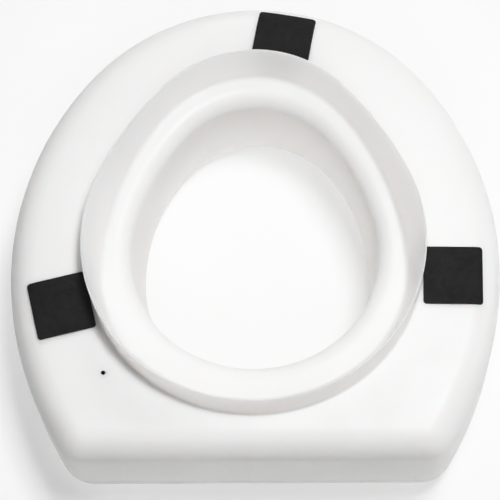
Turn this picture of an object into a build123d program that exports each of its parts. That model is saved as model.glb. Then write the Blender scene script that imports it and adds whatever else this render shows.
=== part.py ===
from build123d import *
from math import atan2, cos, hypot, radians, sin, sqrt, tan
import os

# Raised toilet seat: a hollow blow-moulded ring with a locating collar on its
# underside and three self-adhesive slip-resistant pads.  Millimetres.
# The seat lies on its sitting face at z = 0 with the underside facing +Z.
# +Y points to the rounded front, -Y to the straight rear edge, and the part
# is symmetric about X = 0 except for the pads and the vent.

# ---- overall sizes ---------------------------------------------------------
seat_width = 398.0
seat_length = 388.5
underside_height = 127.0          # rise of the seat above the bowl rim
collar_top = 155.0                # crest of the collar
wall = 3.0                        # moulded wall thickness

# ---- outer outline, taken at the mould parting height ----------------------
parting_height = 35.0
widest_y = -34.0                  # where the seat is widest
front_side_radius = 254.0
rear_flank_radius = 278.0
rear_corner_radius = 27.5
side_draft = 1.4                  # degrees, above and below the parting
underside_edge_radius = 24.0
sitting_edge_radius = 29.0
sitting_dish_radius = 900.0
sitting_dish_depth = 14.0

# ---- egg outlines ------------------------------------------------------------
# front, half width, rear, front radius, flank radius, bulge radius, join angle
crest_egg = (137.0, 136.5, -155.5, 100.0, 290.0, 130.0, 60.0)
collar_inner_egg = (123.0, 121.5, -151.0, 94.0, 220.0, 98.0, 50.0)
opening_top_egg = (100.5, 100.5, -122.0, 73.0, 205.0, 95.0, 60.0)
opening_low_egg = (105.0, 94.5, -112.0, 78.0, 150.0, 88.0, 60.0)

# ---- collar ------------------------------------------------------------------
crest_thickness = 1.6
collar_foot_lean = 2.5            # the foot sits this far inside the crest
collar_rear_slope = 4.0           # at the rear the foot runs out past the crest
collar_root = 118.0               # how deep the collar is rooted in the body

# ---- seat opening ------------------------------------------------------------
opening_low_height = 25.0         # the opening is narrowest here
opening_top_radius = 13.0
opening_low_radius = 12.0

# ---- limits that pick out the edges around the opening ----------------------
rim_centre_y = -10.0
rim_reach = 118.0                 # no rim edge lies further than this from the centre
rim_top_band = 8.0
rim_level_limit = 3.0
rim_edge_least = 20.0

# ---- pads ------------------------------------------------------------------
pad_size = 47.0
pad_thickness = 1.8
pad_corner = 2.5
adhesive_thickness = 0.25
adhesive_setback = 0.6            # the adhesive stops just short of the pad edge
pad_cut_below = 40.0              # reach of the upright die that cuts a pad
pad_cut_above = 20.0
# centre x, centre y and turn in degrees of each pad
pad_places = {
    "front": (24.0, 157.0, -10.5),
    "left": (-152.9, -70.7, 13.5),
    "right": (157.8, -47.8, -1.0),
}

# ---- vent left by the blowing needle ---------------------------------------
vent_x = -118.5
vent_y = -125.5
vent_radius = 1.5
vent_reach = 20.0                 # drilled this far to each side of the underside


def arc_between(centre, start, end):
    """Arc about a centre from start to end, the short way round."""
    radius = hypot(start[0] - centre[0], start[1] - centre[1])
    a0 = atan2(start[1] - centre[1], start[0] - centre[0])
    a1 = atan2(end[1] - centre[1], end[0] - centre[0])
    turn = (a1 - a0 + radians(540)) % radians(360) - radians(180)
    middle_angle = a0 + turn / 2
    middle = (centre[0] + radius * cos(middle_angle), centre[1] + radius * sin(middle_angle))
    return ThreePointArc(start, middle, end)


def touch_point(big, small, small_radius):
    """Where a small circle touches the larger circle around it."""
    gap = hypot(small[0] - big[0], small[1] - big[1])
    return (
        small[0] + (small[0] - big[0]) / gap * small_radius,
        small[1] + (small[1] - big[1]) / gap * small_radius,
    )


def mirrored(point):
    return (-point[0], point[1])


def seat_outline(z, grow):
    """Outer outline of the seat, moved outward by grow, as a face at height z."""
    half = seat_width / 2
    front = seat_length / 2
    rear = -seat_length / 2
    side = (half - front_side_radius, widest_y)
    flank = (half - rear_flank_radius, widest_y)
    # front arc on the centre line, tangent to both side arcs
    reach = front - front_side_radius
    front_centre_y = (reach**2 - side[0] ** 2 - widest_y**2) / (2 * (reach - widest_y))
    nose = (0.0, front_centre_y)
    nose_radius = front - front_centre_y + grow
    # corner arc tangent to the flank and to the straight rear edge
    corner_y = rear + rear_corner_radius
    corner_reach = rear_flank_radius - rear_corner_radius
    corner_x = flank[0] + sqrt(corner_reach**2 - (corner_y - widest_y) ** 2)
    corner = (corner_x, corner_y)
    shoulder = touch_point(side, nose, nose_radius)
    waist = (half + grow, widest_y)
    hip = touch_point(flank, corner, rear_corner_radius + grow)
    heel = (corner_x, rear - grow)
    edges = [arc_between(nose, mirrored(shoulder), shoulder)]
    edges.append(arc_between(side, shoulder, waist))
    edges.append(arc_between(flank, waist, hip))
    edges.append(arc_between(corner, hip, heel))
    edges.append(Line(heel, mirrored(heel)))
    edges.append(arc_between(mirrored(corner), mirrored(heel), mirrored(hip)))
    edges.append(arc_between(mirrored(flank), mirrored(hip), mirrored(waist)))
    edges.append(arc_between(mirrored(side), mirrored(waist), mirrored(shoulder)))
    return Pos(0, 0, z) * make_face(edges)


def egg(z, sizes, lean=0.0, rear_slope=0.0, grow=0.0):
    """Egg outline of six tangent arcs: front, two flanks, two bulges and rear.

    lean pulls the whole outline in, rear_slope pushes its rear out and grow
    moves it outward by an even distance.
    """
    front, half, rear, front_radius, flank_radius, bulge_radius, join_angle = sizes
    front = front - lean
    half = half - lean
    front_radius = front_radius - lean
    bulge_radius = bulge_radius - lean
    rear = rear - rear_slope
    turn = radians(join_angle)
    # rear arc on the centre line; it meets each bulge arc at the join angle
    rear_radius = bulge_radius + (half - bulge_radius) / cos(turn)
    tail = (0.0, rear + rear_radius)
    bulge = (half - bulge_radius, tail[1] - (half - bulge_radius) * tan(turn))
    nose = (0.0, front - front_radius)
    # flank centre, from its distances to the bulge and front centres
    to_bulge = flank_radius - bulge_radius
    to_nose = flank_radius - front_radius
    span = hypot(nose[0] - bulge[0], nose[1] - bulge[1])
    along = (to_bulge**2 - to_nose**2 + span**2) / (2 * span)
    across = sqrt(to_bulge**2 - along**2)
    ux = (nose[0] - bulge[0]) / span
    uy = (nose[1] - bulge[1]) / span
    flank = (bulge[0] + ux * along - uy * across, bulge[1] + uy * along + ux * across)
    upper = touch_point(flank, nose, front_radius + grow)
    middle = touch_point(flank, bulge, bulge_radius + grow)
    lower = touch_point(tail, bulge, bulge_radius + grow)
    edges = [arc_between(nose, mirrored(upper), upper)]
    edges.append(arc_between(flank, upper, middle))
    edges.append(arc_between(bulge, middle, lower))
    edges.append(arc_between(tail, lower, mirrored(lower)))
    edges.append(arc_between(mirrored(bulge), mirrored(lower), mirrored(middle)))
    edges.append(arc_between(mirrored(flank), mirrored(middle), mirrored(upper)))
    return Pos(0, 0, z) * make_face(edges)


def opening_tool(inset):
    """Space cut by the seat opening, with a clear run past both faces."""
    bottom = egg(-5.0, opening_low_egg, grow=inset)
    throat = egg(opening_low_height, opening_low_egg, grow=inset)
    top = egg(underside_height + 8.0, opening_top_egg, grow=inset)
    return loft([bottom, throat, top], ruled=True)


def dish(inset):
    """Large ball that hollows the sitting face."""
    radius = sitting_dish_radius + inset
    return Pos(0, 0, sitting_dish_depth - sitting_dish_radius) * Sphere(radius)


def on_opening_rim(edge):
    """True for an edge on the rim of the seat opening."""
    middle = edge @ 0.5
    rise = abs((edge @ 0.0).Z - (edge @ 1.0).Z)
    inside = hypot(middle.X, middle.Y - rim_centre_y) < rim_reach
    level = rise < rim_level_limit and edge.length > rim_edge_least
    at_top = middle.Z > underside_height - rim_top_band
    at_bottom = middle.Z < sitting_dish_depth
    return inside and level and (at_top or at_bottom)


def ring_blank(inset):
    """The ring without its collar, every face moved inward by inset."""
    slope = tan(radians(side_draft))
    top_z = underside_height - inset
    bottom_z = inset
    middle = seat_outline(parting_height, -inset)
    top = seat_outline(top_z, -inset - slope * (top_z - parting_height))
    bottom = seat_outline(bottom_z, -inset - slope * (parting_height - bottom_z))
    block = loft([bottom, middle, top], ruled=True)
    top_edges = block.faces().sort_by(Axis.Z)[-1].edges()
    block = fillet(top_edges, underside_edge_radius - inset)
    bottom_edges = block.faces().sort_by(Axis.Z)[0].edges()
    block = fillet(bottom_edges, sitting_edge_radius - inset)
    block = block - dish(inset)
    block = block - opening_tool(inset)
    rims = [edge for edge in block.edges() if on_opening_rim(edge)]
    top_rim = [edge for edge in rims if edge.center().Z > underside_height / 2]
    block = fillet(top_rim, opening_top_radius - inset)
    rims = [edge for edge in block.edges() if on_opening_rim(edge)]
    low_rim = [edge for edge in rims if edge.center().Z < opening_low_height]
    block = fillet(low_rim, opening_low_radius - inset)
    return block


def collar_ridge():
    """Ridge standing on the underside, thin at its crest."""
    root = egg(collar_root, crest_egg, collar_foot_lean, collar_rear_slope)
    foot = egg(underside_height, crest_egg, collar_foot_lean, collar_rear_slope)
    crest = egg(collar_top, crest_egg)
    outside = loft([root, foot, crest], ruled=True)
    inner_root = egg(collar_root - 1.0, collar_inner_egg)
    inner_foot = egg(underside_height, collar_inner_egg)
    inner_crest = egg(collar_top + 0.01, crest_egg, grow=-crest_thickness)
    inside = loft([inner_root, inner_foot, inner_crest], ruled=True)
    return outside - inside


def pad_prism(place, setback):
    """Upright prism with the plan shape of a pad."""
    x, y, turn = place
    side = pad_size - 2 * setback
    plan = RectangleRounded(side, side, pad_corner)
    prism = extrude(plan, amount=pad_cut_below + pad_cut_above)
    return Pos(x, y, underside_height - pad_cut_below) * Rot(0, 0, turn) * prism


def sheet_on_underside(place, setback, start, thickness):
    """Sheet of even thickness that follows the underside beneath a pad."""
    over = ring_blank(-start - thickness)
    under = ring_blank(-start)
    prism = pad_prism(place, setback)
    return (prism & over) - under


# ---- seat body ---------------------------------------------------------------
shell_outside = ring_blank(0.0) + collar_ridge()
cavity = ring_blank(wall)
vent_drill = extrude(Circle(vent_radius), amount=2 * vent_reach)
vent = Pos(vent_x, vent_y, underside_height - vent_reach) * vent_drill
seat_body = shell_outside - cavity - vent

pieces = {"seat_body": seat_body}

# ---- pads with their adhesive ------------------------------------------------
for side_name, place in pad_places.items():
    pieces["adhesive_" + side_name] = sheet_on_underside(
        place, adhesive_setback, 0.0, adhesive_thickness
    )
    pieces["pad_" + side_name] = sheet_on_underside(
        place, 0.0, adhesive_thickness, pad_thickness
    )

os.makedirs("parts", exist_ok=True)
for name, piece in pieces.items():
    piece.label = name
    export_step(piece, "parts/" + name + ".step")
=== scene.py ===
"""Raised toilet seat lying upside down: white moulded ring, collar and three black pads.

The moulding is one ring of profile loops swept about a hub, laid out in millimetres in the
frame of the CAD model: sitting face at z = 0, underside and collar up, rounded front to +Y.
"""
import math
import random

import bmesh
import bpy
import numpy as np
from mathutils import Matrix, Vector


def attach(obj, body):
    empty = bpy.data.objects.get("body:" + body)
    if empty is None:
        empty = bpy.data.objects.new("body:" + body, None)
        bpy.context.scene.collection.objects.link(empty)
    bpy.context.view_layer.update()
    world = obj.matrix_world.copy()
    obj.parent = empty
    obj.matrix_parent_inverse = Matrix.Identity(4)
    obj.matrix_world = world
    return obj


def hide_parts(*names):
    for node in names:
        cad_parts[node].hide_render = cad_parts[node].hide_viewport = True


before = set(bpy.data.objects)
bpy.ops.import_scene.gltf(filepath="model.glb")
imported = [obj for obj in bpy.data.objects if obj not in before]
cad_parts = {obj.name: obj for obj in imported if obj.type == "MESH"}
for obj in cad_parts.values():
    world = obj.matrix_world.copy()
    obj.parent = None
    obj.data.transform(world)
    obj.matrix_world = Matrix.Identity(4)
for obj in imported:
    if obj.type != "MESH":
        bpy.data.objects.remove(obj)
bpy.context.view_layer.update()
rng = random.Random(7)

MM = 0.001

# ---- sizes of the moulding, in millimetres -------------------------------------------
SEAT_WIDTH = 398.0
SEAT_LENGTH = 388.5
UNDERSIDE_Z = 127.0
CREST_Z = 155.0
PARTING_Z = 35.0
WIDEST_Y = -34.0
FRONT_SIDE_R = 254.0
REAR_FLANK_R = 278.0
REAR_CORNER_R = 27.5
DRAFT = math.tan(math.radians(1.4))
UNDERSIDE_EDGE_R = 24.0
SITTING_EDGE_R = 29.0
DISH_R = 900.0
DISH_DEPTH = 14.0
OPENING_LOW_Z = 25.0
OPENING_TOP_R = 13.0
OPENING_LOW_R = 12.0
OPENING_RULE_TOP_Z = 135.0         # height at which the wall would meet the top egg
CREST_THICKNESS = 1.6
FOOT_LEAN = 2.5
REAR_SLOPE = 4.0
FOOT_FILLET = 2.0
INNER_FILLET = 4.5

# front, half width, rear, front radius, flank radius, bulge radius, join angle in degrees
CREST_EGG = (137.0, 136.5, -155.5, 100.0, 290.0, 130.0, 60.0)
INNER_EGG = (123.0, 121.5, -151.0, 94.0, 220.0, 98.0, 50.0)
TOP_EGG = (100.5, 100.5, -122.0, 73.0, 205.0, 95.0, 60.0)
LOW_EGG = (105.0, 94.5, -112.0, 78.0, 150.0, 88.0, 60.0)
HUB_Y = -18.0                      # centre that the ring is swept about

BEAD_PROUD = 0.3                   # bead of flash at the parting line
BEAD_FADE = 25.0                   # the skin draws in over this height on both sides of it
# rise above the parting height and share of the full bead
BEAD_PROFILE = (
    (-1.1, 0.0), (-0.45, 0.1), (-0.2, 0.75), (0.0, 1.0), (0.2, 0.75), (0.45, 0.1), (1.1, 0.0),
)
SKIN_SINK = 0.12                   # deepest unevenness of the moulded skin
SKIN_WAVES = 14
SKIN_WAVE_LENGTHS = (0.035, 0.11)  # metres
SKIN_WAVE_FLATTEN = 0.6            # the waves run mostly level
SKIN_WAVE_GAIN = 1.6

VENT = (-118.5, -125.5)
VENT_R = 1.5
VENT_SIDES = 28
# turned cutter of the vent, with a broken edge: share of its radius, height over the underside
VENT_CUTTER = ((0.0, -12.0), (1.0, -12.0), (1.0, -0.18), (1.10, 0.0), (1.14, 2.0), (0.0, 2.0))

# ---- sizes of the pads, in millimetres -----------------------------------------------
PAD_SIZE = 47.0
PAD_THICKNESS = 1.8
PAD_CORNER = 2.5
PAD_RIM_R = 0.45                   # softened upper edge
PAD_DIMPLE = 0.10                  # shallow waves of the pressed-down top
PAD_DIMPLE_TURNS = (0.21, 0.17)    # radians per millimetre along the pad and across it
PAD_SIDE_LEVELS = (0.0, 0.5, 1.0)  # heights of the loops on the straight part of the side
PAD_CORNER_STEPS = 7
PAD_SIDE_STEPS = 22
PAD_RIM_STEPS = 4
PAD_RINGS = 14
ADHESIVE_THICKNESS = 0.25
# x, y and turn of each pad
PADS = {
    "front": (24.0, 157.0, -10.5),
    "left": (-152.9, -70.7, 13.5),
    "right": (157.8, -47.8, -1.0),
}

# ---- loops and steps of the meshes ---------------------------------------------------
FINE = 2
SWEEPS = 220 * FINE
ARC_POINTS = 900                   # points on each arc of an outline
SPREAD_ARC_POINTS = 600            # the same, where the sweep angles are spread out
DEPTH_ARC_POINTS = 500             # the same, where a pad measures its way to the edge
CORNER_SHARE = 0.55                # extra share of the sweep angles that goes to the bends
WALL_RINGS = 8                     # loops on the outer wall at the coarser setting
WALL_GAP_LOW = 4.0                 # from the parting line to the first of them
WALL_GAP_HIGH = 3.0                # from the last of them to the rounding
# steps along each stretch of the profile, at the coarser setting
STEPS = {
    "sitting edge": 9,
    "underside edge": 11,
    "underside": 7,
    "collar foot": 4,
    "collar outside": 4,
    "crest": 4,
    "collar inside": 5,
    "collar fillet": 5,
    "land": 4,
    "opening edge": 9,
    "opening wall": 7,
    "opening low edge": 6,
    "sitting face": 12,
}

# ---- colours -------------------------------------------------------------------------
PLASTIC_LIGHT = (0.885, 0.885, 0.880)
PLASTIC_DEEP = (0.862, 0.863, 0.856)
# warm tint that stands for light shining through the thin collar: painted glow
COLLAR_PAINTED_GLOW = (0.915, 0.886, 0.876)
# darker, warmer tint of the painted shade inside the opening
PLASTIC_OPENING_SHADE = (0.885, 0.872, 0.860)
PLASTIC_SCUFF = (0.60, 0.60, 0.59)
# grey of the painted shade line at the parting bead
PLASTIC_SEAM_SHADE = (0.70, 0.69, 0.67)
PLASTIC_GLOW = 0.9                 # light scattered inside the plastic
PLASTIC_GLOW_DEPTH = 0.008         # metres
COLLAR_GLOW_DEPTH = 0.030
PLASTIC_GLOW_TINT = (1.0, 0.93, 0.88)
COLLAR_BLEND = (0.6, 6.0)          # mm over the underside where the collar's painted glow sets in
SEAM_SHADE_HALF_WIDTH = 1.2              # mm of painted shade on both sides of the parting line
SEAM_SHADE_SHARE = 0.30
SCUFF_SHARE = 0.10
OPENING_MIDDLE_Z = 60.0            # mm, middle of the ball that marks the opening's walls
OPENING_REACH = (0.125, 0.150)     # metres, where that ball is full and where it ends
OPENING_BLEND = (30.0, 6.0)        # mm below the underside, over which its painted shade fades
RUBBER_DEEP = (0.0095, 0.0095, 0.0100)
RUBBER_LIGHT = (0.0150, 0.0150, 0.0155)
RUBBER_SPECK = (0.0260, 0.0260, 0.0265)
# painted shade on the vent's walls, standing for the unlit hollow
VENT_DEEP = (0.03, 0.028, 0.025)
VENT_LIGHT = (0.06, 0.056, 0.05)
FILM_LIGHT = (0.78, 0.75, 0.66)
FILM_DEEP = (0.68, 0.65, 0.56)

# ---- studio --------------------------------------------------------------------------
# the floor is painted with a pool of light: lighter and glowing near the middle, darker far off
FLOOR_TONE = (0.715, 0.715, 0.715)
FLOOR_TONE_2 = (0.725, 0.725, 0.725)
FLOOR_TONE_FAR = (0.46, 0.46, 0.46)
FLOOR_GLOW = 0.31
FLOOR_GLOW_FAR = 0.09
GLOW_FADE = (0.27, 0.85)           # metres from the middle, over which both ease off
WORLD_GLOW = 0.03
SWEEP_FLOOR_RINGS = (0.0, 1.0, 2.0)
SWEEP_FLOOR_R = 2.8
SWEEP_BEND_R = 0.9
SWEEP_TOP = 3.2
SWEEP_STEPS = 12
SWEEP_SIDES = 72
# turn from +X towards +Y and tilt from straight up in degrees, side in metres, watts
LIGHTS = {
    "key": (24.0, 11.0, 0.50, 30.0),
    "far_low": (90.0, 62.0, 0.8, 11.0),
    "near_fill": (-92.0, 36.0, 0.8, 8.0),
    "left_fill": (225.0, 26.0, 0.8, 2.4),
    "right_low": (8.0, 76.0, 0.8, 7.5),
}
LIGHT_REACH = 2.2
LIGHT_AIM = Vector((0.0, 0.0, 0.1))

VIEW_AZIMUTH = 4.7
VIEW_ELEVATION = 72.0
VIEW_ROLL = -4.9
VIEW_DISTANCE = 1.659
VIEW_AIM = Vector((-0.0045, -0.010, 0.080))
LENS = 145.15
SENSOR_WIDTH = 36.0
# scene brightness that shows as white, and the curve from a share of it to the display
TONE_WHITE = 1.25
TONE_POINTS = (
    (0.0, 0.0), (0.20, 0.205), (0.40, 0.455), (0.56, 0.715), (0.70, 0.865), (0.82, 0.95),
    (1.0, 1.0),
)
COMBINED_CURVE = 3                 # after the red, green and blue ones


# ---- outlines as chains of tangent arcs ----------------------------------------------
def touch(big, small, radius):
    """Point where a circle about small, inside one about big, touches it."""
    way = np.array(small) - np.array(big)
    return np.array(small) + way / np.linalg.norm(way) * radius


def arc_points(centre, start, end, count):
    """Even points on the shorter arc about the centre from start to end."""
    centre = np.array(centre, float)
    a0 = math.atan2(start[1] - centre[1], start[0] - centre[0])
    a1 = math.atan2(end[1] - centre[1], end[0] - centre[0])
    turn = (a1 - a0 + math.pi * 3) % (math.pi * 2) - math.pi
    radius = math.hypot(start[0] - centre[0], start[1] - centre[1])
    steps = np.linspace(0.0, 1.0, count)
    angle = a0 + turn * steps
    return centre + radius * np.stack([np.cos(angle), np.sin(angle)], 1)


def closed(half):
    """Full outline from its right half, which runs from the front to the rear."""
    return np.vstack([half, (half * [-1.0, 1.0])[-2:0:-1]])


def seat_outline(grow=0.0, count=ARC_POINTS):
    """Widest outline of the seat, in plan: nose, side, flank and corner arcs, straight rear."""
    half = SEAT_WIDTH / 2
    front = SEAT_LENGTH / 2
    rear = -SEAT_LENGTH / 2
    side = (half - FRONT_SIDE_R, WIDEST_Y)
    flank = (half - REAR_FLANK_R, WIDEST_Y)
    reach = front - FRONT_SIDE_R
    nose_y = (reach**2 - side[0] ** 2 - WIDEST_Y**2) / (2 * (reach - WIDEST_Y))
    nose = (0.0, nose_y)
    corner_y = rear + REAR_CORNER_R
    corner_reach = REAR_FLANK_R - REAR_CORNER_R
    corner_x = flank[0] + math.sqrt(corner_reach**2 - (corner_y - WIDEST_Y) ** 2)
    corner = (corner_x, corner_y)
    shoulder = touch(side, nose, front - nose_y + grow)
    waist = np.array([half + grow, WIDEST_Y])
    hip = touch(flank, corner, REAR_CORNER_R + grow)
    heel = np.array([corner_x, rear - grow])
    parts = [
        arc_points(nose, (0.0, front + grow), shoulder, count),
        arc_points(side, shoulder, waist, count),
        arc_points(flank, waist, hip, count),
        arc_points(corner, hip, heel, count),
        np.linspace(heel, (0.0, rear - grow), count),
    ]
    return closed(np.vstack(parts))


def egg_outline(sizes, lean=0.0, rear_slope=0.0, grow=0.0, count=ARC_POINTS):
    """Egg of nose, flank, bulge and tail arcs; lean draws its sides in, rear_slope its rear out."""
    front, half, rear, front_r, flank_r, bulge_r, join = sizes
    front, half, front_r, bulge_r = front - lean, half - lean, front_r - lean, bulge_r - lean
    rear = rear - rear_slope
    turn = math.radians(join)
    rear_r = bulge_r + (half - bulge_r) / math.cos(turn)
    tail = (0.0, rear + rear_r)
    bulge = (half - bulge_r, tail[1] - (half - bulge_r) * math.tan(turn))
    nose = (0.0, front - front_r)
    to_bulge = flank_r - bulge_r
    to_nose = flank_r - front_r
    span = math.hypot(nose[0] - bulge[0], nose[1] - bulge[1])
    along = (to_bulge**2 - to_nose**2 + span**2) / (2 * span)
    across = math.sqrt(to_bulge**2 - along**2)
    ux, uy = (nose[0] - bulge[0]) / span, (nose[1] - bulge[1]) / span
    flank = (bulge[0] + ux * along - uy * across, bulge[1] + uy * along + ux * across)
    upper = touch(flank, nose, front_r + grow)
    middle = touch(flank, bulge, bulge_r + grow)
    lower = touch(tail, bulge, bulge_r + grow)
    parts = [
        arc_points(nose, (0.0, front + grow), upper, count),
        arc_points(flank, upper, middle, count),
        arc_points(bulge, middle, lower, count),
        arc_points(tail, lower, (0.0, rear - grow), count),
    ]
    return closed(np.vstack(parts))


def radius_at(outline, angles):
    """Distance from the hub to the outline along each angle, turned from +Y towards +X."""
    x = outline[:, 0]
    y = outline[:, 1] - HUB_Y
    theta = np.arctan2(x, y)
    reach = np.hypot(x, y)
    order = np.argsort(theta)
    return np.interp(angles, theta[order], reach[order], period=2 * math.pi)


# ---- the sweep: angles spread along the outline, denser at the rear corners ----------
def sweep_angles(count):
    """Angles of the sweep about the hub, turned from +Y towards +X."""
    outline = seat_outline(0.0, SPREAD_ARC_POINTS)
    ahead = np.roll(outline, -1, 0) - outline
    step = np.linalg.norm(ahead, axis=1)
    heading = np.unwrap(np.arctan2(*ahead.T))
    bend = np.clip(np.abs(np.gradient(heading)), 0, 1)
    weight = np.cumsum(step / step.sum() + CORNER_SHARE * bend / bend.sum())
    weight = (weight - weight[0]) / (weight[-1] - weight[0])
    theta = np.unwrap(np.arctan2(outline[:, 0], outline[:, 1] - HUB_Y))
    return np.interp(np.arange(count) / count, weight, theta)


ANGLES = sweep_angles(SWEEPS)
DIRECTION = np.stack([np.sin(ANGLES), np.cos(ANGLES)], 1)


def ring(radius, z):
    """One loop of the sweep: a point at each angle."""
    z = np.broadcast_to(z, radius.shape)
    return np.column_stack([DIRECTION * radius[:, None] + [0.0, HUB_Y], z])


def seat_ring(inset, z):
    """One loop of the outer skin; it draws in a little on both sides of the parting bead."""
    drawn_in = BEAD_PROUD * max(0.0, 1.0 - abs(z - PARTING_Z) / BEAD_FADE)
    return ring(radius_at(seat_outline(-inset - drawn_in), ANGLES), z)


# ---- profile of the moulding, from the sitting edge round and back -------------------
RIGHT_ANGLE = math.radians(90.0)
WALL_ANGLE = math.atan(DRAFT)


def stretch(name, first=0.0, last=1.0):
    """Even steps along one stretch of the profile."""
    return np.linspace(first, last, STEPS[name] * FINE + 1)


def rounding_inset(radius, away):
    """Inset of the centre of an edge rounding that lies away from the parting height."""
    return radius * math.sqrt(1 + DRAFT**2) + DRAFT * away


def underside_rounding():
    """Height of the centre of the rounding under the underside, and its inset."""
    centre_z = UNDERSIDE_Z - UNDERSIDE_EDGE_R
    return centre_z, rounding_inset(UNDERSIDE_EDGE_R, centre_z - PARTING_Z)


def outer_loops():
    """Sitting edge, parting bead, outer wall and the rounding under the underside."""
    loops = []
    inset = rounding_inset(SITTING_EDGE_R, PARTING_Z - SITTING_EDGE_R)
    for a in stretch("sitting edge", RIGHT_ANGLE, WALL_ANGLE):
        z = SITTING_EDGE_R - SITTING_EDGE_R * math.sin(a)
        loops.append(seat_ring(inset - SITTING_EDGE_R * math.cos(a), z))
    for dz, share in BEAD_PROFILE:
        loops.append(seat_ring(DRAFT * abs(dz) - share * BEAD_PROUD, PARTING_Z + dz))
    centre_z, inset = underside_rounding()
    for z in np.linspace(PARTING_Z + WALL_GAP_LOW, centre_z - WALL_GAP_HIGH, WALL_RINGS * FINE):
        loops.append(seat_ring(DRAFT * (z - PARTING_Z), z))
    for a in stretch("underside edge", WALL_ANGLE, RIGHT_ANGLE):
        z = centre_z + UNDERSIDE_EDGE_R * math.sin(a)
        loops.append(seat_ring(inset - UNDERSIDE_EDGE_R * math.cos(a), z))
    return loops


def collar_loops():
    """Underside as far as the collar, and the collar; also the radius where the land begins."""
    edge = radius_at(seat_outline(-underside_rounding()[1]), ANGLES)
    foot = radius_at(egg_outline(CREST_EGG, FOOT_LEAN, REAR_SLOPE), ANGLES)
    crest = radius_at(egg_outline(CREST_EGG), ANGLES)
    crest_in = radius_at(egg_outline(CREST_EGG, grow=-CREST_THICKNESS), ANGLES)
    inner = radius_at(egg_outline(INNER_EGG), ANGLES)
    rise = CREST_Z - UNDERSIDE_Z
    crest_r = CREST_THICKNESS / 2
    face_top = 1.0 - crest_r / rise

    loops = []
    start = foot + FOOT_FILLET
    for t in stretch("underside")[1:-1]:
        loops.append(ring(edge + (start - edge) * t, UNDERSIDE_Z))
    for a in stretch("collar foot", 0.0, RIGHT_ANGLE):
        z = UNDERSIDE_Z + FOOT_FILLET * (1 - math.cos(a))
        loops.append(ring(start - FOOT_FILLET * math.sin(a), z))
    for t in stretch("collar outside", FOOT_FILLET / rise, face_top)[1:]:
        loops.append(ring(foot + (crest - foot) * t, UNDERSIDE_Z + rise * t))
    middle = (crest + crest_in) / 2
    for a in stretch("crest", 0.0, math.pi)[1:-1]:
        z = CREST_Z - crest_r + crest_r * math.sin(a)
        loops.append(ring(middle + crest_r * math.cos(a), z))

    # the inner face leans, and ends where its fillet into the land begins
    slope = (crest_in - inner) / rise
    run = INNER_FILLET * np.tan((math.pi / 2 - np.arctan(slope)) / 2)
    face_rise = run / np.sqrt(1 + slope**2)
    for t in stretch("collar inside", face_top, 0.0)[:-1]:
        z = UNDERSIDE_Z + np.maximum(rise * t, face_rise)
        loops.append(ring(inner + slope * (z - UNDERSIDE_Z), z))
    face_r = inner + slope * face_rise
    land_r = inner - run
    for t in stretch("collar fillet")[1:]:
        face, corner, land = (1 - t) ** 2, 2 * t * (1 - t), t**2
        radius = face * face_r + corner * inner + land * land_r
        loops.append(ring(radius, UNDERSIDE_Z + face * face_rise))
    return loops, land_r


def opening_loops(land_r):
    """Land inside the collar, the rounding into the opening, and the opening's wall."""
    low = radius_at(egg_outline(LOW_EGG), ANGLES)
    top = radius_at(egg_outline(TOP_EGG), ANGLES)
    slope = (top - low) / (OPENING_RULE_TOP_Z - OPENING_LOW_Z)
    round_z = UNDERSIDE_Z - OPENING_TOP_R
    rim_r = low + slope * (round_z - OPENING_LOW_Z) + OPENING_TOP_R
    loops = []
    for t in stretch("land")[1:-1]:
        loops.append(ring(land_r + (rim_r - land_r) * t, UNDERSIDE_Z))
    for a in stretch("opening edge", 0.0, RIGHT_ANGLE):
        z = round_z + OPENING_TOP_R * math.cos(a)
        loops.append(ring(rim_r - OPENING_TOP_R * math.sin(a), z))
    for z in stretch("opening wall", round_z, OPENING_LOW_Z)[1:]:
        loops.append(ring(low + slope * (z - OPENING_LOW_Z), z))
    return loops


def dish_z(radius):
    """Height of the shallow dish of the sitting face, at one distance along each angle."""
    away = np.hypot(DIRECTION[:, 0] * radius, DIRECTION[:, 1] * radius + HUB_Y)
    return DISH_DEPTH - DISH_R + np.sqrt(DISH_R**2 - away**2)


def sitting_loops():
    """Rounding of the opening's lower end, the dish, and the flat ring that it rests on."""
    flat_inset = rounding_inset(SITTING_EDGE_R, PARTING_Z - SITTING_EDGE_R)
    flat_r = radius_at(seat_outline(-flat_inset), ANGLES)
    centre_r = radius_at(egg_outline(LOW_EGG), ANGLES) + OPENING_LOW_R
    centre_z = dish_z(centre_r) + OPENING_LOW_R
    loops = []
    for a in stretch("opening low edge", 0.0, RIGHT_ANGLE):
        radius = centre_r - OPENING_LOW_R * math.cos(a)
        loops.append(ring(radius, centre_z - OPENING_LOW_R * math.sin(a)))
    for t in stretch("sitting face")[1:-1]:
        radius = centre_r + (flat_r - centre_r) * t
        loops.append(ring(radius, np.maximum(dish_z(radius), 0.0)))
    return loops


def mesh_object(name, verts, faces):
    """Smooth-shaded object from points in metres and faces."""
    mesh = bpy.data.meshes.new(name)
    mesh.from_pydata([tuple(v) for v in verts], [], faces)
    mesh.validate()
    mesh.update()
    mesh.shade_smooth()
    obj = bpy.data.objects.new(name, mesh)
    bpy.context.scene.collection.objects.link(obj)
    return obj


def bridge(bm, rows):
    """Faces between neighbouring closed rows of points; a row of one point closes an end."""
    for low, high in zip(rows, rows[1:]):
        count = max(len(low), len(high))
        for i in range(count):
            j = (i + 1) % count
            if len(low) == 1:
                bm.faces.new((low[0], high[j], high[i]))
            elif len(high) == 1:
                bm.faces.new((low[i], low[j], high[0]))
            else:
                bm.faces.new((low[i], low[j], high[j], high[i]))
    bmesh.ops.recalc_face_normals(bm, faces=bm.faces)


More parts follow.
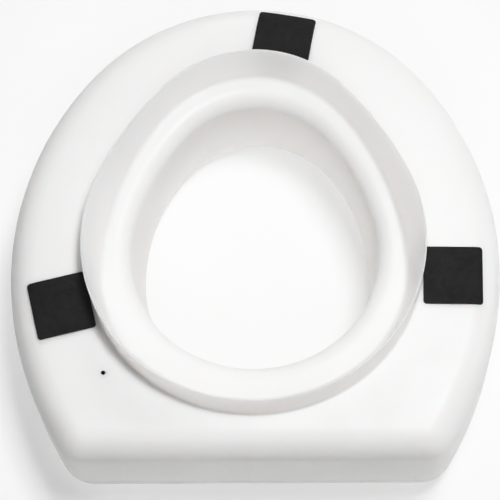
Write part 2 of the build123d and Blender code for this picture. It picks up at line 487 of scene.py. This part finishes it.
def build_body():
    """The closed ring of the moulding, from its profile loops."""
    collar, land_r = collar_loops()
    loops = outer_loops() + collar + opening_loops(land_r) + sitting_loops()
    count = len(loops)
    verts = np.vstack(loops) * MM
    faces = []
    for i in range(count):
        j = (i + 1) % count
        for k in range(SWEEPS):
            n = (k + 1) % SWEEPS
            faces.append((i * SWEEPS + k, i * SWEEPS + n, j * SWEEPS + n, j * SWEEPS + k))
    obj = mesh_object("seat_moulding", verts, faces)
    bm = bmesh.new()
    bm.from_mesh(obj.data)
    bmesh.ops.remove_doubles(bm, verts=bm.verts, dist=1e-6)
    bmesh.ops.recalc_face_normals(bm, faces=bm.faces)
    bm.to_mesh(obj.data)
    bm.free()
    return obj


body = build_body()


# ---- slight unevenness of the blow-moulded skin --------------------------------------
def settle_skin(obj, depth, waves):
    """Sinks the skin by up to depth, in slow waves as it does when it cools."""
    count = len(obj.data.vertices)
    place = np.empty(count * 3)
    way = np.empty(count * 3)
    obj.data.vertices.foreach_get("co", place)
    obj.data.vertices.foreach_get("normal", way)
    place = place.reshape(-1, 3)
    way = way.reshape(-1, 3)
    height = np.zeros(count)
    flat = SKIN_WAVE_FLATTEN
    for _ in range(waves):
        axis = np.array([rng.uniform(-1, 1), rng.uniform(-1, 1), rng.uniform(-flat, flat)])
        axis = axis / np.linalg.norm(axis) * 2 * math.pi / rng.uniform(*SKIN_WAVE_LENGTHS)
        height += np.sin(place @ axis + rng.uniform(0, 2 * math.pi)) / waves
    sink = depth * (0.5 + 0.5 * np.clip(height * SKIN_WAVE_GAIN, -1, 1))
    place = place - way * sink[:, None]
    obj.data.vertices.foreach_set("co", place.reshape(-1))
    obj.data.update()


settle_skin(body, SKIN_SINK * MM, SKIN_WAVES)


# ---- materials -----------------------------------------------------------------------
class Nodes:
    """Short calls for the node graph of one material."""

    def __init__(self, name):
        self.mat = bpy.data.materials.new(name)
        self.mat.use_nodes = True
        self.tree = self.mat.node_tree
        self.shader = self.tree.nodes["Principled BSDF"]
        coords = self.tree.nodes.new("ShaderNodeTexCoord")
        self.place = coords.outputs["Object"]

    def join(self, source, target):
        """Links a socket, or sets a number or a colour on the target."""
        if isinstance(source, (int, float)):
            target.default_value = source
        elif isinstance(source, tuple):
            target.default_value = (*source, 1.0)
        else:
            self.tree.links.new(source, target)

    def noise(self, scale, detail=3.0, rough=0.5, squeeze=None):
        """Noise with so many cells per metre; squeeze is a scale and a turn of its space."""
        node = self.tree.nodes.new("ShaderNodeTexNoise")
        node.inputs["Scale"].default_value = scale
        node.inputs["Detail"].default_value = detail
        node.inputs["Roughness"].default_value = rough
        where = self.place
        if squeeze:
            scaler = self.tree.nodes.new("ShaderNodeMapping")
            scaler.inputs["Scale"].default_value, scaler.inputs["Rotation"].default_value = squeeze
            self.tree.links.new(where, scaler.inputs["Vector"])
            where = scaler.outputs["Vector"]
        self.tree.links.new(where, node.inputs["Vector"])
        return node.outputs["Fac"]

    def cells(self, scale):
        """Distance to the middle of each cell of a random pattern."""
        node = self.tree.nodes.new("ShaderNodeTexVoronoi")
        node.inputs["Scale"].default_value = scale
        self.tree.links.new(self.place, node.inputs["Vector"])
        return node.outputs["Distance"]

    def range(self, value, low, high, to_low=0.0, to_high=1.0, smooth=False):
        """Maps low..high to to_low..to_high."""
        node = self.tree.nodes.new("ShaderNodeMapRange")
        node.interpolation_type = "SMOOTHSTEP" if smooth else "LINEAR"
        self.join(value, node.inputs["Value"])
        limits = {"From Min": low, "From Max": high, "To Min": to_low, "To Max": to_high}
        for key, number in limits.items():
            node.inputs[key].default_value = number
        return node.outputs["Result"]

    def math(self, kind, first, second=0.0):
        node = self.tree.nodes.new("ShaderNodeMath")
        node.operation = kind
        self.join(first, node.inputs[0])
        self.join(second, node.inputs[1])
        return node.outputs[0]

    def blend(self, factor, first, second):
        node = self.tree.nodes.new("ShaderNodeMix")
        node.data_type = "RGBA"
        self.join(factor, node.inputs["Factor"])
        self.join(first, node.inputs["A"])
        self.join(second, node.inputs["B"])
        return node.outputs["Result"]

    def axis(self, name):
        node = self.tree.nodes.new("ShaderNodeSeparateXYZ")
        self.tree.links.new(self.place, node.inputs[0])
        return node.outputs[name]

    def near(self, point, inner, outer):
        """1 inside the inner distance of a point, falling to 0 at the outer one."""
        node = self.tree.nodes.new("ShaderNodeVectorMath")
        node.operation = "DISTANCE"
        self.tree.links.new(self.place, node.inputs[0])
        node.inputs[1].default_value = point
        return self.range(node.outputs["Value"], inner, outer, 1.0, 0.0, True)

    def bump(self, height, distance, strength, under=None):
        """Relief of so many metres, on top of the relief under it."""
        node = self.tree.nodes.new("ShaderNodeBump")
        node.inputs["Distance"].default_value = distance
        node.inputs["Strength"].default_value = strength
        self.tree.links.new(height, node.inputs["Height"])
        if under:
            self.tree.links.new(under, node.inputs["Normal"])
        return node.outputs["Normal"]


def seat_plastic():
    """White polyethylene: satin moulded grain, faint scuffs; painted glow on the collar, painted
    shade at the seam and in the opening.
    """
    n = Nodes("seat_plastic")
    height = n.axis("Z")
    set_in, full = ((UNDERSIDE_Z + up) * MM for up in COLLAR_BLEND)
    collar = n.range(height, set_in, full, smooth=True)
    cloud = n.noise(9.0, 4.0, 0.55)
    mottle = n.noise(140.0, 3.0, 0.6)
    tone = n.blend(n.range(cloud, 0.35, 0.65), PLASTIC_LIGHT, PLASTIC_DEEP)
    tone = n.blend(n.range(mottle, 0.35, 0.75, to_high=0.35), tone, PLASTIC_DEEP)
    # painted glow: the collar is tinted warmer and a little lighter, for light shining through its
    # thin wall
    tone = n.blend(collar, tone, COLLAR_PAINTED_GLOW)

    # long faint scuffs from handling, only where a slow mask lets them show
    drag_a = n.noise(60.0, 5.0, 0.7, squeeze=((1.0, 22.0, 8.0), (0.0, 0.0, 0.7)))
    drag_b = n.noise(75.0, 5.0, 0.7, squeeze=((20.0, 1.0, 8.0), (0.0, 0.0, 0.4)))
    patch = n.range(n.noise(16.0, 2.0, 0.5), 0.52, 0.72, smooth=True)
    drag = n.math("MAXIMUM", n.range(drag_a, 0.66, 0.74), n.range(drag_b, 0.67, 0.75))
    scuff = n.math("MULTIPLY", drag, patch)
    tone = n.blend(n.math("MULTIPLY", scuff, SCUFF_SHARE), tone, PLASTIC_SCUFF)

    # painted shade: a thin grey line along the parting line, outside only
    off_seam = n.math("ABSOLUTE", n.math("SUBTRACT", height, PARTING_Z * MM))
    seam_shade = n.range(off_seam, 0.0, SEAM_SHADE_HALF_WIDTH * MM, SEAM_SHADE_SHARE, 0.0, smooth=True)
    in_opening = n.near((0.0, HUB_Y * MM, OPENING_MIDDLE_Z * MM), *OPENING_REACH)
    seam_shade = n.math("MULTIPLY", seam_shade, n.math("SUBTRACT", 1.0, in_opening))
    tone = n.blend(seam_shade, tone, PLASTIC_SEAM_SHADE)

    # painted shade: the walls of the opening are tinted a little darker and warmer
    full, gone = ((UNDERSIDE_Z - down) * MM for down in OPENING_BLEND)
    opening_shade = n.range(height, full, gone, 1.0, 0.0, smooth=True)
    tone = n.blend(n.math("MULTIPLY", opening_shade, in_opening), tone, PLASTIC_OPENING_SHADE)
    n.join(tone, n.shader.inputs["Base Color"])

    # scuffs are duller than the rest, and the collar is a little glossier
    rough = n.range(n.noise(42.0, 4.0, 0.6), 0.3, 0.7, 0.40, 0.50)
    rough = n.math("ADD", rough, n.math("MULTIPLY", scuff, 0.12))
    rough = n.math("SUBTRACT", rough, n.math("MULTIPLY", collar, 0.05))
    n.join(rough, n.shader.inputs["Roughness"])
    peel = n.bump(n.noise(420.0, 3.0, 0.55), distance=0.00010, strength=0.55)
    grain = n.bump(n.noise(2600.0, 2.0, 0.5), distance=0.00002, strength=0.6, under=peel)
    scratch = n.bump(scuff, distance=0.00003, strength=0.5, under=grain)
    n.join(scratch, n.shader.inputs["Normal"])

    n.shader.inputs["IOR"].default_value = 1.5
    n.shader.inputs["Subsurface Weight"].default_value = PLASTIC_GLOW
    n.shader.inputs["Subsurface Radius"].default_value = PLASTIC_GLOW_TINT
    depth = n.range(collar, 0.0, 1.0, PLASTIC_GLOW_DEPTH, COLLAR_GLOW_DEPTH)
    n.join(depth, n.shader.inputs["Subsurface Scale"])
    return n.mat


def vent_dark():
    """Painted shade for the inside of the vent: a dark colour for the unlit hollow behind the skin.
    """
    n = Nodes("vent_painted_shade")
    n.join(n.blend(n.noise(900.0), VENT_DEEP, VENT_LIGHT), n.shader.inputs["Base Color"])
    rough = n.range(n.noise(1500.0), 0.3, 0.7, 0.6, 0.8)
    n.join(rough, n.shader.inputs["Roughness"])
    return n.mat


def pad_rubber():
    """Black slip-resistant rubber: fine closed pebble and dusty variation."""
    n = Nodes("pad_rubber")
    cloud = n.noise(55.0, 4.0, 0.6)
    speck = n.noise(1900.0, 2.0, 0.7)
    tone = n.blend(n.range(cloud, 0.3, 0.7), RUBBER_DEEP, RUBBER_LIGHT)
    tone = n.blend(n.range(speck, 0.55, 0.75, to_high=0.35), tone, RUBBER_SPECK)
    n.join(tone, n.shader.inputs["Base Color"])
    rough = n.range(n.noise(260.0, 3.0, 0.6), 0.3, 0.7, 0.62, 0.80)
    n.join(rough, n.shader.inputs["Roughness"])
    domes = n.range(n.cells(1150.0), 0.0, 0.7, 1.0, 0.0)
    pebble = n.bump(domes, distance=0.00009, strength=0.7)
    fine = n.bump(n.noise(3800.0, 2.0, 0.6), distance=0.00003, strength=0.6, under=pebble)
    n.join(fine, n.shader.inputs["Normal"])
    n.shader.inputs["IOR"].default_value = 1.45
    n.shader.inputs["Specular IOR Level"].default_value = 0.28
    n.shader.inputs["Sheen Weight"].default_value = 0.06
    n.shader.inputs["Sheen Roughness"].default_value = 0.5
    return n.mat


def adhesive_film():
    """Pale self-adhesive backing, slightly mottled."""
    n = Nodes("adhesive_film")
    tone = n.blend(n.range(n.noise(300.0, 3.0, 0.6), 0.3, 0.7), FILM_LIGHT, FILM_DEEP)
    n.join(tone, n.shader.inputs["Base Color"])
    n.join(n.range(n.noise(700.0), 0.3, 0.7, 0.3, 0.5), n.shader.inputs["Roughness"])
    relief = n.bump(n.noise(1400.0, 2.0, 0.5), distance=0.00003, strength=0.6)
    n.join(relief, n.shader.inputs["Normal"])
    return n.mat


def studio_floor():
    """Pale sweep with a painted pool of light: whitest and glowing under the seat, darker and
    dimmer farther out.
    """
    n = Nodes("studio_floor")
    # painted light: the pool under the seat is lighter in colour and glows, both easing off outward
    spot = n.near((0.0, 0.0, 0.0), *GLOW_FADE)
    tone = n.blend(n.range(n.noise(2.0, 2.0, 0.5), 0.3, 0.7), FLOOR_TONE, FLOOR_TONE_2)
    n.join(n.blend(spot, FLOOR_TONE_FAR, tone), n.shader.inputs["Base Color"])
    n.shader.inputs["Roughness"].default_value = 0.8
    n.shader.inputs["Specular IOR Level"].default_value = 0.0
    n.shader.inputs["Emission Color"].default_value = (1.0, 1.0, 1.0, 1.0)
    glow = n.math("MULTIPLY", spot, FLOOR_GLOW - FLOOR_GLOW_FAR)
    n.join(n.math("ADD", glow, FLOOR_GLOW_FAR), n.shader.inputs["Emission Strength"])
    return n.mat


body.data.materials.append(seat_plastic())


# ---- vent hole through the underside -------------------------------------------------
def cut_vent(obj):
    """Cuts the small vent with a turned cutter that also breaks its edge."""
    x, y = (v * MM for v in VENT)
    spokes = [i * 2 * math.pi / VENT_SIDES for i in range(VENT_SIDES)]
    bm = bmesh.new()
    rows = []
    for share, rise in VENT_CUTTER:
        r = share * VENT_R * MM
        z = (UNDERSIDE_Z + rise) * MM
        angles = spokes if r else [0.0]
        rows.append([bm.verts.new((x + r * math.cos(a), y + r * math.sin(a), z)) for a in angles])
    bridge(bm, rows)
    mesh = bpy.data.meshes.new("vent_cutter")
    bm.to_mesh(mesh)
    bm.free()
    mesh.materials.append(vent_dark())
    cutter = bpy.data.objects.new("vent_cutter", mesh)
    bpy.context.scene.collection.objects.link(cutter)
    cut = obj.modifiers.new("vent", "BOOLEAN")
    cut.operation = "DIFFERENCE"
    cut.object = cutter
    cut.solver = "EXACT"
    cut.material_mode = "TRANSFER"
    bpy.context.view_layer.update()
    cut_shape = obj.evaluated_get(bpy.context.evaluated_depsgraph_get())
    shape = bpy.data.meshes.new_from_object(cut_shape)
    obj.modifiers.clear()
    obj.data = shape
    bpy.data.objects.remove(cutter)


cut_vent(body)
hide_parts("seat_body")
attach(body, "root")


# ---- rubber pads ---------------------------------------------------------------------
def depth_inside(points):
    """How far each plan point lies inside the widest outline of the seat."""
    edge = seat_outline(0.0, DEPTH_ARC_POINTS)
    return np.array([np.hypot(*(edge - p).T).min() for p in points])


def lay_on_underside(plan, lift):
    """Heights that follow the underside, lifted square to it, at plan points."""
    centre_z, inset = underside_rounding()
    over = np.maximum(inset - depth_inside(plan), 0.0)
    reach = np.maximum((UNDERSIDE_EDGE_R + lift) ** 2 - over**2, 0.0)
    return centre_z + np.sqrt(reach)


def pad_outline():
    """Rounded square, walked with even steps."""
    half = PAD_SIZE / 2
    centre = half - PAD_CORNER
    points = []
    for quarter in range(4):
        a0 = math.pi / 2 * quarter
        cx = centre if quarter in (0, 3) else -centre
        cy = centre if quarter in (0, 1) else -centre
        for a in np.linspace(a0, a0 + math.pi / 2, PAD_CORNER_STEPS + 1):
            points.append((cx + PAD_CORNER * math.cos(a), cy + PAD_CORNER * math.sin(a)))
        a1 = a0 + math.pi / 2
        end = np.array(points[-1])
        ahead = np.array([-math.sin(a1), math.cos(a1)])
        for t in np.linspace(0, 2 * centre, PAD_SIDE_STEPS + 1)[1:-1]:
            points.append(tuple(end + ahead * t))
    return np.array(points)


def pad_rows():
    """Rows of plan points and their rise, from the middle below, round the rim, to the middle."""
    outline = pad_outline()
    half = PAD_SIZE / 2
    middle = np.zeros((1, 2))
    rows = [(middle, 0.0)]
    for part in np.linspace(0.0, 1.0, PAD_RINGS + 1)[1:-1]:
        rows.append((outline * part, 0.0))
    for rise in (*PAD_SIDE_LEVELS, PAD_THICKNESS - PAD_RIM_R):
        rows.append((outline, rise))
    for a in np.linspace(0, math.pi / 2, PAD_RIM_STEPS + 1)[1:]:
        inset = PAD_RIM_R * (1 - math.cos(a))
        rise = PAD_THICKNESS - PAD_RIM_R * (1 - math.sin(a))
        rows.append((outline * (half - inset) / half, rise))
    for part in np.linspace(1.0, 0.0, PAD_RINGS + 1)[1:-1]:
        rows.append((outline * part * (half - PAD_RIM_R) / half, PAD_THICKNESS))
    rows.append((middle, PAD_THICKNESS))
    return rows


def pad_piece(name, place):
    """A die-cut rubber square with a softened rim, pressed down over the rounding."""
    x, y, turn = place
    a = math.radians(turn)
    spin = np.array([[math.cos(a), math.sin(a)], [-math.sin(a), math.cos(a)]])
    phase = rng.uniform(0, 2 * math.pi)
    along, across = PAD_DIMPLE_TURNS
    bm = bmesh.new()
    loops = []
    for plan, rise in pad_rows():
        lift = np.full(len(plan), ADHESIVE_THICKNESS + rise)
        if rise == PAD_THICKNESS:
            wave = np.sin(plan[:, 0] * along + phase) * np.cos(plan[:, 1] * across - phase)
            lift = lift - PAD_DIMPLE * (0.5 + 0.5 * wave)
        spot = plan @ spin + [x, y]
        height = lay_on_underside(spot, lift)
        points = np.column_stack([spot, height]) * MM
        loops.append([bm.verts.new(p) for p in points])
    bridge(bm, loops)
    mesh = bpy.data.meshes.new(name)
    bm.to_mesh(mesh)
    bm.free()
    mesh.shade_smooth()
    pad = bpy.data.objects.new(name, mesh)
    bpy.context.scene.collection.objects.link(pad)
    return pad


rubber = pad_rubber()
film = adhesive_film()
for side, place in PADS.items():
    pad = pad_piece("grip_pad_" + side, place)
    pad.data.materials.append(rubber)
    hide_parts("pad_" + side)
    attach(pad, "root")
    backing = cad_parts["adhesive_" + side]
    backing.data.materials.clear()
    backing.data.materials.append(film)


# ---- floor ---------------------------------------------------------------------------
def sweep_mesh():
    """Round floor that turns up into a wall far behind the seat on every side."""
    path = [(r, 0.0) for r in (*SWEEP_FLOOR_RINGS, SWEEP_FLOOR_R)]
    for a in np.linspace(0, math.pi / 2, SWEEP_STEPS + 1)[1:]:
        r = SWEEP_FLOOR_R + SWEEP_BEND_R * math.sin(a)
        path.append((r, SWEEP_BEND_R * (1 - math.cos(a))))
    path.append((SWEEP_FLOOR_R + SWEEP_BEND_R, SWEEP_TOP))
    spokes = [2 * math.pi * k / SWEEP_SIDES for k in range(SWEEP_SIDES)]
    verts = [(0.0, 0.0, 0.0)]
    for r, z in path[1:]:
        verts += [(r * math.cos(a), r * math.sin(a), z) for a in spokes]
    faces = []
    for k in range(SWEEP_SIDES):
        n = (k + 1) % SWEEP_SIDES
        faces.append((0, 1 + k, 1 + n))
        for i in range(len(path) - 2):
            low, high = 1 + i * SWEEP_SIDES, 1 + (i + 1) * SWEEP_SIDES
            faces.append((low + k, high + k, high + n, low + n))
    return mesh_object("floor", verts, faces)


floor = sweep_mesh()
floor.data.materials.append(studio_floor())

# ---- light and camera ----------------------------------------------------------------
world = bpy.data.worlds.new("studio")
bpy.context.scene.world = world
world.use_nodes = True
surround = world.node_tree.nodes["Background"]
surround.inputs["Color"].default_value = (1, 1, 1, 1)
surround.inputs["Strength"].default_value = WORLD_GLOW


def softbox(name, turn, tilt, side, power):
    """Square light at its turn and tilt, facing the seat."""
    turn, tilt = math.radians(turn), math.radians(tilt)
    level = math.sin(tilt)
    way = Vector((level * math.cos(turn), level * math.sin(turn), math.cos(tilt)))
    light = bpy.data.lights.new(name, "AREA")
    light.shape = "SQUARE"
    light.size = side
    light.energy = power
    lamp = bpy.data.objects.new(name, light)
    bpy.context.scene.collection.objects.link(lamp)
    lamp.location = LIGHT_AIM + way * LIGHT_REACH
    lamp.rotation_euler = way.to_track_quat("Z", "Y").to_euler()


for lamp_name, setting in LIGHTS.items():
    softbox(lamp_name, *setting)


def aim_camera(azimuth, elevation, roll):
    """Camera at VIEW_DISTANCE from VIEW_AIM, turned in degrees."""
    az, el, roll = (math.radians(v) for v in (azimuth, elevation, roll))
    back = Vector((math.sin(az) * math.cos(el), -math.cos(az) * math.cos(el), math.sin(el)))
    right = Vector((math.cos(az), math.sin(az), 0.0))
    up = back.cross(right)
    rolled_right = right * math.cos(roll) + up * math.sin(roll)
    rolled_up = -right * math.sin(roll) + up * math.cos(roll)
    turned = Matrix((rolled_right, rolled_up, back)).transposed().to_4x4()
    data = bpy.data.cameras.new("camera")
    data.lens = LENS
    data.sensor_width = SENSOR_WIDTH
    camera = bpy.data.objects.new("camera", data)
    bpy.context.scene.collection.objects.link(camera)
    camera.matrix_world = Matrix.Translation(VIEW_AIM + back * VIEW_DISTANCE) @ turned
    bpy.context.scene.camera = camera


aim_camera(VIEW_AZIMUTH, VIEW_ELEVATION, VIEW_ROLL)


def set_tone(points, white):
    """Plain display transform with a soft shoulder, so that white plastic keeps its shape."""
    view = bpy.context.scene.view_settings
    view.view_transform = "Standard"
    view.use_curve_mapping = True
    curve = view.curve_mapping.curves[COMBINED_CURVE]
    curve.points[0].location = points[0]
    curve.points[1].location = points[-1]
    for spot in points[1:-1]:
        curve.points.new(*spot)
    view.curve_mapping.white_level = (white, white, white)
    view.curve_mapping.update()


set_tone(TONE_POINTS, TONE_WHITE)
